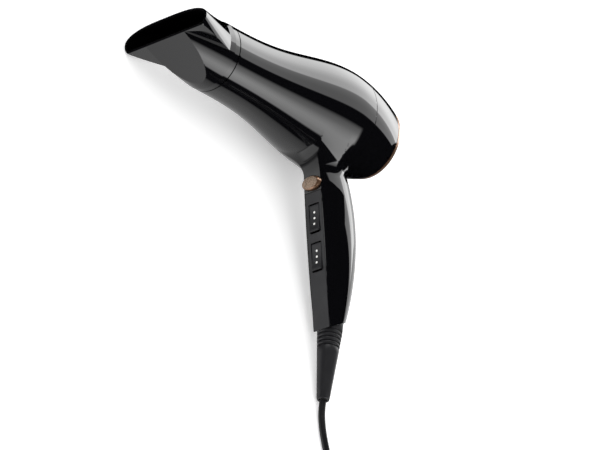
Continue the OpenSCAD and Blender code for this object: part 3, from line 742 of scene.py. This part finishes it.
def node_tree(name, **inputs):
    """An empty geometry tree with float or integer inputs, its input node and its output socket."""
    tree = bpy.data.node_groups.new(name, "GeometryNodeTree")
    for title, value in inputs.items():
        kind = "NodeSocketInt" if isinstance(value, int) else "NodeSocketFloat"
        socket = tree.interface.new_socket(title, in_out="INPUT", socket_type=kind)
        socket.default_value = value
    tree.interface.new_socket("Geometry", in_out="OUTPUT", socket_type="NodeSocketGeometry")
    return tree, add(tree, "NodeGroupInput").outputs


def calc(tree, operation, *values):
    """One step of arithmetic."""
    return add(tree, "ShaderNodeMath", dict(enumerate(values)), operation=operation).outputs[0]


def grow(name, tree, result, material, to_table):
    """Ends the tree, runs it once, and keeps the result as a plain mesh on the table."""
    real = add(tree, "GeometryNodeRealizeInstances", {"Geometry": result})
    paint = add(tree, "GeometryNodeSetMaterial", {"Geometry": real.outputs[0], "Material": material})
    add(tree, "NodeGroupOutput", {"Geometry": paint.outputs[0]})
    piece = linked(name, bpy.data.meshes.new(name))
    work = piece.modifiers.new("grow", "NODES")
    work.node_group = tree
    for item in tree.interface.items_tree:
        if item.in_out == "INPUT":
            work[item.identifier] = item.default_value
    mesh = settle_modifiers(piece)
    corners = np.array([v.co for v in mesh.vertices])
    mesh.vertices.foreach_set("co", to_table(corners).ravel())
    mesh.update()
    print(name, len(mesh.polygons), "faces")
    return piece


def marks(name, h, body):
    """Three printed dots along a rocker."""
    tree, socket = node_tree(name, Dots=3, Pitch=MARK_PITCH, Radius=0.85, Ink=0.16)
    step = add(tree, "ShaderNodeCombineXYZ", {"Z": socket["Pitch"]})
    line = add(tree, "GeometryNodeMeshLine", {"Count": socket["Dots"], "Offset": step.outputs[0]})
    dot = add(tree, "GeometryNodeMeshCylinder", {"Vertices": 24, "Radius": socket["Radius"],
        "Depth": socket["Ink"]})
    turn = add(tree, "GeometryNodeInstanceOnPoints", {"Points": line.outputs[0],
        "Instance": dot.outputs["Mesh"], "Rotation": (0, pi / 2, 0)})

    def settle(corners):
        corners[:, 2] -= MARK_PITCH
        corners[:, 0] += [rocker_depth(u) for u in corners[:, 2]]
        return on_panel(h, corners)

    return ride(grow(name, tree, turn.outputs[0], white_ink, settle), body, "white_mark")


marks("marks_upper", UPPER_H, "upper_rocker")
marks("marks_lower", LOWER_H, "lower_rocker")

# %% [markdown]
# ## Cool-shot button
# An oval pad with a sandy face and a polished chamfer. It is a loft of ovals: the side, the chamfer, then
# a face that domes a little.
# %% Button
PAD_AROUND, FACE_RING = 72, 4       # corners of a ring, and the ring at which the sandy face begins


def oval_loft(name, h, steps, half_wide, half_tall, around=PAD_AROUND):
    """A loft of ovals along the depth; a step is (depth, share of the full size)."""
    points = [(d, half_wide * s * cos(a), half_tall * s * sin(a))
        for d, s in steps for a in full_turn(around)]
    return outward(place_piece(name, on_panel(h, points), ring_faces(len(steps), around), bronze_lacquer))


pad_steps = [(0.5, 1.0), (-1.9, 1.0), (-2.15, 0.985), (-2.95, 0.87), (-3.1, 0.84), (-3.2, 0.6),
    (-3.26, 0.3), (-3.28, 0.02)]
button = soften(oval_loft("cool_shot_pad", BUTTON_H, pad_steps, 8.25, 5.2), 0.0, 25)
button.data.materials.append(sandy_bronze)
for face in button.data.polygons:
    face.material_index = int(min(face.vertices) // PAD_AROUND >= FACE_RING)
stem = oval_loft("stem", BUTTON_H, [(10, 0.24), (0.2, 0.24)], 8.25, 8.25, 32)
ride(button, "cool_shot", "bronze", "cool_shot_button")
ride(stem, "cool_shot", "bronze")
stem.name = "cool_shot_stem"
print("button faces:", len(button.data.polygons))

# %% [markdown]
# ## Strain relief
# Soft PVC moulded over the cord: a collar that follows the handle's slanted end, five grooves that let it
# bend, and a long taper. It is a row of rings down its own axis, and the top ring is slid onto the end
# plane.
# %% Strain relief
RELIEF_R, TAIL_R, RELIEF_LEN = 9.2, 4.6, 57
GROOVES, FIRST_GROOVE = 5, -3.5
GROOVE_PITCH, GROOVE_WIDE, GROOVE_DEEP = 3.1, 1.2, 1.3
RELIEF_AROUND, RELIEF_GAP = 96, 0.25


def taper_r(z):
    return RELIEF_R - (RELIEF_R - TAIL_R) * max(-2 - z, 0) / (RELIEF_LEN - 2)


def relief_outline():
    """(height, radius) from the collar down to the cord's way out."""
    outline = [(9.0, RELIEF_R - 0.3), (8.0, RELIEF_R)]
    for i in range(GROOVES):
        top, low = FIRST_GROOVE - GROOVE_PITCH * i + GROOVE_WIDE, FIRST_GROOVE - GROOVE_PITCH * i
        deep = taper_r(top) - GROOVE_DEEP
        outline += [(top + 0.3, taper_r(top)), (top + 0.05, taper_r(top) - 0.15)]
        outline.append((top, taper_r(top) - 0.35))
        outline += [(top - 0.15, deep + 0.1), (low + 0.15, deep + 0.1), (low, taper_r(low) - 0.35)]
        outline += [(low - 0.05, taper_r(low) - 0.15), (low - 0.3, taper_r(low))]
    outline += [(z, taper_r(z)) for z in np.linspace(-20, -RELIEF_LEN + 2.2, 8)]
    outline += [(-RELIEF_LEN + 1 + cos(a), taper_r(-RELIEF_LEN) - 0.9 + 0.9 * sin(a))
        for a in np.radians([60, 90, 120, 150, 180])]
    return outline + [(-RELIEF_LEN + 0.2, 3.1), (-RELIEF_LEN + 1.2, 2.8)]


def relief_rings(outline):
    """Upright rings; those over the handle's slanted end are slid down to it."""
    points = []
    for z, r in outline:
        for a in full_turn(RELIEF_AROUND):
            across, right = r * cos(a), r * sin(a)
            x = RELIEF_X + across * cos(RELIEF_TILT) + z * sin(RELIEF_TILT)
            up = -RELIEF_H - across * sin(RELIEF_TILT) + z * cos(RELIEF_TILT)
            points.append((x, right, up))
    points = np.array(points)
    axis = np.array([sin(RELIEF_TILT), 0, cos(RELIEF_TILT)])
    lowered = np.minimum(end_plane(points) - RELIEF_GAP, 0) / (end_plane(axis) - end_plane(np.zeros(3)))
    return points - axis * lowered[:, None]


relief_line = relief_outline()
relief = outward(place_piece("strain_relief_pvc", lay_down(relief_rings(relief_line)),
    ring_faces(len(relief_line), RELIEF_AROUND), satin_nylon))
ride(soften(relief, 0.0, 40), "body", "satin_black", "strain_relief")
print("strain relief:", len(relief_line), "rings")

# %% [markdown]
# ## Cord
# 1.8 m of 5 mm mains lead, as such a dryer has. It leaves the relief straight, sinks to the table, runs
# off to a neat coil and ends in its plug. The loose stretches are listed points. The coil is a loop:
# three layers of three turns, each a diameter from the next, then a low crossing over the top.
# %% Cord's path
CORD_D, CORD_LEN = 5.0, 1.8
lead_out = [(66.8, -128.9, 4.5), (66, -138, 3.1), (65.7, -147, 2.6), (66, -156, 2.5), (67, -165, 2.5),
    (68.5, -174, 2.5), (70, -184, 2.5), (71.3, -194, 2.5), (71.9, -203, 2.5)]
to_plug = [(129, -248, 4.5), (137, -249.5, 6.4), (145, -250.4, 7.4), (152, -250.6, 7.5)]
COIL_AT = (105, -212)
COIL_R, TURNS, TURN_STEPS = 28.4, 8.6, 24
LAST_TURN = 9                   # the crossing comes down on the far side of this turn
CLIMBED, SINKS = 0.3, 0.62      # shares of the crossing: up on the coil, and down again from there
columns = [1, 0, -1, -1, 0, 1, 1, 0, -1, -1]
layers = [0, 0, 0, 1, 1, 1, 2, 2, 2, 2]


def ease(t):
    t = min(max(t, 0.0), 1.0)
    return t * t * (3 - 2 * t)


def coil_place(turn):
    """Radius and height of the cord's centre after so many turns: it shifts in the second half of each."""
    k = min(int(turn), len(columns) - 2)
    shift = ease(2 * (turn - k) - 1)
    column = columns[k] + (columns[k + 1] - columns[k]) * shift
    layer = layers[k] + (layers[k + 1] - layers[k]) * shift
    return COIL_R + CORD_D * column, CORD_D * (layer + 0.5)


def around_coil(turn, r, z):
    a = pi + 2 * pi * turn
    return (COIL_AT[0] + r * cos(a), COIL_AT[1] + r * sin(a), z)


coil = [around_coil(t, *coil_place(t)) for t in np.arange(0, TURNS, 1 / TURN_STEPS)]
far_r = sqrt((to_plug[0][0] - COIL_AT[0]) ** 2 + (to_plug[0][1] - COIL_AT[1]) ** 2)
far_turn = LAST_TURN + (np.arctan2(to_plug[0][1] - COIL_AT[1], to_plug[0][0] - COIL_AT[0]) + pi) / (2 * pi)
start_r, start_z = coil_place(TURNS)
crossing = []
for s in np.linspace(0, 1, 17)[:-1]:
    r = start_r + (far_r - start_r) * ease(s * 1.05 - 0.05)
    fall = (start_z + CORD_D - to_plug[0][2]) * ease((s - SINKS) / (1 - SINKS))
    z = start_z + CORD_D * ease(s / CLIMBED) - fall
    crossing.append(around_coil(TURNS + (far_turn - TURNS) * s, r, z))
path = np.array(lead_out + coil + crossing + to_plug) / MM
length = np.linalg.norm(np.diff(path, axis=0), axis=1).sum()
print("cord path", round(length, 4), "m in", len(path), "points; far turn", round(float(far_turn), 2))

# %% [markdown]
# ## The cord itself
# It stays a curve, with the cord's radius as its bevel.
# %% Cord
cord_curve = bpy.data.curves.new("mains_lead", "CURVE")
cord_curve.dimensions = "3D"
cord_curve.bevel_depth = CORD_D / 2 / MM
cord_curve.bevel_resolution = 5
cord_curve.resolution_u = 3
cord_curve.use_fill_caps = True
spline = cord_curve.splines.new("BEZIER")
spline.bezier_points.add(len(path) - 1)
for knot, place in zip(spline.bezier_points, path):
    knot.co = place
    knot.handle_left_type = knot.handle_right_type = "AUTO"
cord_curve.materials.append(cord_pvc)
cord = linked("mains_lead", cord_curve)

# %% [markdown]
# ## Plug
# A moulded two-pin plug: a ribbed nose, a flat body that widens for the fingers, and a flat face. Its
# sections are rounded rectangles that grow along the cord's line.
# %% Plug
PLUG_AT, PLUG_LEN, PLUG_AROUND = (152, -250.6, 7.5), 48, 72
RIBS = 4
sections = [(0.0, 3.6, 3.6, 2.0), (1.0, 4.0, 4.0, 2.0)]
for k in range(RIBS):
    at = 2.2 + 2.6 * k
    swell = 4.1 + 0.5 * k
    sections += [(at, swell, swell, 2.0), (at + 0.2, swell - 0.7, swell - 0.7, 2.0),
        (at + 1.1, swell - 0.6, swell - 0.6, 2.0), (at + 1.3, swell + 0.25, swell + 0.2, 2.0)]
sections += [(14, 7.6, 6.4, 2.3), (18, 8.4, 7.0, 2.8), (23, 10.4, 7.35, 3.4), (28, 12.9, 7.45, 4.2),
    (33, 14.8, 7.5, 5.0), (38, 16.2, 7.5, 5.5), (43, 17.1, 7.5, 5.5), (47, 17.4, 7.5, 5.5),
    (47.6, 17.2, 7.3, 5.5), (PLUG_LEN, 16.7, 6.8, 5.5), (PLUG_LEN, 15.9, 6.0, 5.5)]


def squared(v, power):
    """Sine or cosine of a rounded rectangle: a power of 2 is an ellipse, more is squarer."""
    return np.sign(v) * np.abs(v) ** (2 / power)


plug_points = []
for x, wide, tall, power in sections:
    plug_points += [(PLUG_AT[0] + x, PLUG_AT[1] + wide * squared(cos(a), power),
        PLUG_AT[2] + tall * squared(sin(a), power)) for a in full_turn(PLUG_AROUND)]
plug = outward(place_piece("plug_moulding", np.array(plug_points) / MM,
    ring_faces(len(sections), PLUG_AROUND), cord_pvc))
ride(soften(plug, 0.0, 40), "body", "cord_black", "plug_body")
ride(cord, "body", "cord_black", "power_cord", "cord_coil")
print("plug ends at", round(PLUG_AT[0] + PLUG_LEN), "mm")

# %% [markdown]
# ## Intake grille and its filter
# Air enters the rear through ring-shaped slots, and a woven wire filter lies behind them. Both follow a
# rule, so Geometry Nodes make them: circles swept with a bar, spokes turned in equal steps, and wires that
# pass over and under each other.
# %% Grille


def grille():
    tree, socket = node_tree("intake_grille", Spokes=12, Hub=3.0, Rim=20.7, Bar=1.5, Deep=1.6)
    join = add(tree, "GeometryNodeJoinGeometry")
    rings = 5
    profile = add(tree, "GeometryNodeCurvePrimitiveQuadrilateral", {"Width": socket["Bar"],
        "Height": socket["Deep"]})
    for k in range(rings + 1):
        share = add(tree, "ShaderNodeMapRange", {"Value": k / rings, "To Min": socket["Hub"],
            "To Max": socket["Rim"]})
        circle = add(tree, "GeometryNodeCurvePrimitiveCircle", {"Resolution": 96,
            "Radius": share.outputs["Result"]})
        bar = add(tree, "GeometryNodeCurveToMesh", {"Curve": circle.outputs["Curve"],
            "Profile Curve": profile.outputs["Curve"]})
        tree.links.new(bar.outputs["Mesh"], join.inputs["Geometry"])
    reach = calc(tree, "SUBTRACT", socket["Rim"], socket["Hub"])
    half = calc(tree, "MULTIPLY", calc(tree, "ADD", socket["Rim"], socket["Hub"]), 0.5)
    size = add(tree, "ShaderNodeCombineXYZ", {"X": reach, "Y": socket["Bar"], "Z": socket["Deep"]})
    spoke = add(tree, "GeometryNodeMeshCube", {"Size": size.outputs[0]})
    ring = add(tree, "GeometryNodeMeshCircle", {"Vertices": socket["Spokes"], "Radius": half})
    index = add(tree, "GeometryNodeInputIndex")
    angle = calc(tree, "MULTIPLY", index.outputs[0], calc(tree, "DIVIDE", 2 * pi, socket["Spokes"]))
    turn = add(tree, "ShaderNodeCombineXYZ", {"Z": angle})
    spokes = add(tree, "GeometryNodeInstanceOnPoints", {"Points": ring.outputs["Mesh"],
        "Instance": spoke.outputs["Mesh"], "Rotation": turn.outputs[0]})
    tree.links.new(spokes.outputs[0], join.inputs["Geometry"])
    return tree, join.outputs[0]


def facing_rear(x):
    """Flat work drawn in XY, turned to face the rear at a place on the barrel's axis."""
    return lambda corners: lay_down(np.array([x + corners[:, 2], corners[:, 0], corners[:, 1]]).T)


rear_grille = grow("intake_grille", *grille(), satin_nylon, facing_rear(LIP_X + 1.4))
ride(soften(rear_grille, 0.2), "rear_filter", "satin_black", "rear_grille")

# %% [markdown]
# ## The weave
# A cosine lifts and lowers each wire by its radius, and the wires across it the opposite way. What lies
# outside the disc is deleted before the sweep.
# %% Woven filter
MESH_PITCH, WIRE_R, FILTER_R = 1.25, 0.16, 20.6
HALF_ROWS = 17


def woven():
    tree, socket = node_tree("filter_weave", Pitch=MESH_PITCH, Wire=WIRE_R, Disc=FILTER_R)
    reach = HALF_ROWS * MESH_PITCH
    join = add(tree, "GeometryNodeJoinGeometry")
    profile = add(tree, "GeometryNodeCurvePrimitiveCircle", {"Resolution": 6, "Radius": socket["Wire"]})
    for along, across in ((0, 1), (1, 0)):
        offset, first, last = [0.0] * 3, [0.0] * 3, [0.0] * 3
        offset[across] = MESH_PITCH
        first[along], last[along] = -reach, reach
        first[across] = last[across] = -reach
        lines = add(tree, "GeometryNodeMeshLine", {"Count": 2 * HALF_ROWS + 1, "Offset": offset})
        wire = add(tree, "GeometryNodeCurvePrimitiveLine", {"Start": first, "End": last})
        steps = add(tree, "GeometryNodeResampleCurve", {"Curve": wire.outputs[0],
            "Count": 4 * HALF_ROWS + 1})
        laid = add(tree, "GeometryNodeInstanceOnPoints", {"Points": lines.outputs[0],
            "Instance": steps.outputs[0]})
        loose = add(tree, "GeometryNodeRealizeInstances", {"Geometry": laid.outputs[0]})
        place = add(tree, "GeometryNodeInputPosition")
        parts = add(tree, "ShaderNodeSeparateXYZ", {"Vector": place.outputs[0]})
        run, row = parts.outputs[along], parts.outputs[across]
        wave = calc(tree, "COSINE", calc(tree, "MULTIPLY", calc(tree, "ADD", run, row), pi / MESH_PITCH))
        lift = calc(tree, "MULTIPLY", wave, WIRE_R if along == 0 else -WIRE_R)
        rise = add(tree, "ShaderNodeCombineXYZ", {"Z": lift})
        bent = add(tree, "GeometryNodeSetPosition", {"Geometry": loose.outputs[0], "Offset": rise.outputs[0]})
        far = add(tree, "ShaderNodeVectorMath", {0: place.outputs[0]}, operation="LENGTH")
        outside = add(tree, "FunctionNodeCompare", {"A": far.outputs["Value"], "B": socket["Disc"]})
        kept = add(tree, "GeometryNodeDeleteGeometry", {"Geometry": bent.outputs[0],
            "Selection": outside.outputs[0]})
        swept = add(tree, "GeometryNodeCurveToMesh", {"Curve": kept.outputs[0],
            "Profile Curve": profile.outputs["Curve"], "Fill Caps": True})
        tree.links.new(swept.outputs[0], join.inputs["Geometry"])
    return tree, join.outputs[0]


filter_wires = grow("filter_weave", *woven(), zinc_steel, facing_rear(LIP_X - 0.5))
ride(soften(filter_wires, 0.0, 80), "rear_filter", "steel", "filter_mesh")

# %% [markdown]
# ## Inner pieces
# Motor, fan, heater and switches keep their CAD shapes. Each takes the material of its record slot.
# %% Materials of the CAD nodes
shown = 0
for part in frame["record"]["subparts"]:
    node = frame["nodes"].get(part.get("node") or part.get("name"))
    finish = FINISH.get(part.get("material_slot") or part.get("material"))
    if node is None or finish is None:
        print("left alone:", part)
        continue
    node.data.materials.clear()
    node.data.materials.append(finish)
    shown += 1
print(shown, "CAD nodes have a finish")

# %% [markdown]
# ## Table and light
# A white sheet, which glows a little as a light table does, and an even white surround give the soft
# light. Neither of them shows in the gloss.
# %% Floor and surround
FLOOR, SHEET_GLOW, SURROUND = 6.0, 0.4, 1.15

# Matt paper, faintly mottled
sheet, sheet_tree = new_material("white_sheet")
tone = add(sheet_tree, "ShaderNodeMapRange", {"Value": noise(sheet_tree, 600.0, 3.0), "To Min": 0.9,
    "To Max": 0.94}).outputs["Result"]
matt = add(sheet_tree, "ShaderNodeBsdfDiffuse", {"Color": tone})
lit = add(sheet_tree, "ShaderNodeEmission", {"Color": tone, "Strength": SHEET_GLOW})
show(sheet_tree, "ShaderNodeAddShader", {0: matt.outputs[0], 1: lit.outputs[0]})
floor = place_piece("floor", [(x * FLOOR, y * FLOOR, 0) for x, y in ((-1, -1), (1, -1), (1, 1), (-1, 1))],
    [(0, 1, 2, 3)], sheet)
floor.visible_glossy = False

world = bpy.data.worlds.new("surround")
world.use_nodes = True
world.node_tree.nodes.clear()
sky = add(world.node_tree, "ShaderNodeBackground", {"Color": (1, 1, 1, 1), "Strength": SURROUND})
add(world.node_tree, "ShaderNodeOutputWorld", {"Surface": sky.outputs[0]})
bpy.context.scene.world = world
world.cycles_visibility.glossy = False
bpy.context.scene.view_settings.view_transform = "Standard"
bpy.context.scene.view_settings.look = "None"
print("floor", 2 * FLOOR, "m wide")

# %% [markdown]
# ## Softboxes
# Black gloss shows only what it mirrors. So curved softboxes stand around the barrel, dark between them,
# and the bands on the barrel are theirs. They and a black card are seen by glossy rays alone.
# %% Softboxes


def in_gloss_only(name, points, faces, glow=None):
    """A lamp with its own light at each point, or a dark card; only glossy rays see it."""
    material, tree = new_material(name)
    level = 0.0 if glow is None else add(tree, "ShaderNodeAttribute", attribute_name="glow").outputs["Fac"]
    show(tree, "ShaderNodeEmission", {"Strength": level})
    thing = place_piece(name, [(SEAM.x + x, SEAM.y + y, SEAM.z + z) for x, y, z in points], faces, material)
    if glow is not None:
        thing.data.attributes.new("glow", "FLOAT", "POINT").data.foreach_set("value", glow)
    thing.visible_camera = thing.visible_diffuse = thing.visible_shadow = thing.visible_transmission = False


def softbox(name, reach, glow, distance=1.0, fade=0.12):
    """Part of a tube about the barrel's axis. Glow gives its light at angles from the zenith towards +Y,
    reach its ends along the axis; the light fades towards them."""
    angles = np.radians(np.arange(glow[0][0], glow[-1][0] + 0.5, 2.0))
    light = np.interp(np.degrees(angles), *zip(*glow))
    ends = np.array([0, fade, 1 - fade, 1]) * (reach[1] - reach[0]) + reach[0]
    points = [(x, distance * sin(a), distance * cos(a)) for a in angles for x in ends]
    n = len(ends)
    faces = [(i * n + j, i * n + j + 1, (i + 1) * n + j + 1, (i + 1) * n + j)
        for i in range(len(angles) - 1) for j in range(n - 1)]
    in_gloss_only(name, points, faces, [v * e for v in light for e in (0.0, 1.0, 1.0, 0.0)])


softbox("box_left", (0.15, 1.12), [(-84, 0), (-80, 3.3), (-76, 3.5), (-68, 4.3), (-59, 4.65), (-51, 3.8),
    (-42, 2.4), (-34, 1.75), (-30, 1.0), (-26, 0)])
softbox("box_above", (-0.04, 0.6), [(-8, 0), (-6, 1.8), (6, 1.75), (15, 2.0), (20, 2.3), (22, 5.6), (33, 4.9),
    (42, 5.0), (51, 5.0), (60, 4.3), (69, 3.5), (80, 2.5), (82, 0)], distance=0.12, fade=0.04)
softbox("box_below", (-0.6, 1.35), [(-216, 0.5), (-186, 0.56), (-166, 0.62), (-146, 0.78), (-126, 0.7),
    (-119, 0.55), (-115, 0)])
softbox("box_facet", (-0.3, 0.4), [(-146, 0.8), (-136, 1.3), (-106, 1.3), (-104, 0)], distance=0.9)
softbox("box_front", (-3.0, -0.4), [(142, 1.2), (150, 1.3), (175, 1.25), (205, 1.1), (245, 0.8)])
softbox("box_far", (1.4, 5.0), [(45, 1.2), (80, 1.5), (140, 1.2), (165, 0.8)])
# A black card over the handle's side keeps the box above out of its gloss
CARD_Z = 0.0155
card_corners = [(0.1, -0.052), (0.1, -0.112), (0.15, -0.112), (0.15, -0.052)]
in_gloss_only("black_card", [(x, y, CARD_Z) for x, y in card_corners], [(0, 1, 2, 3)])
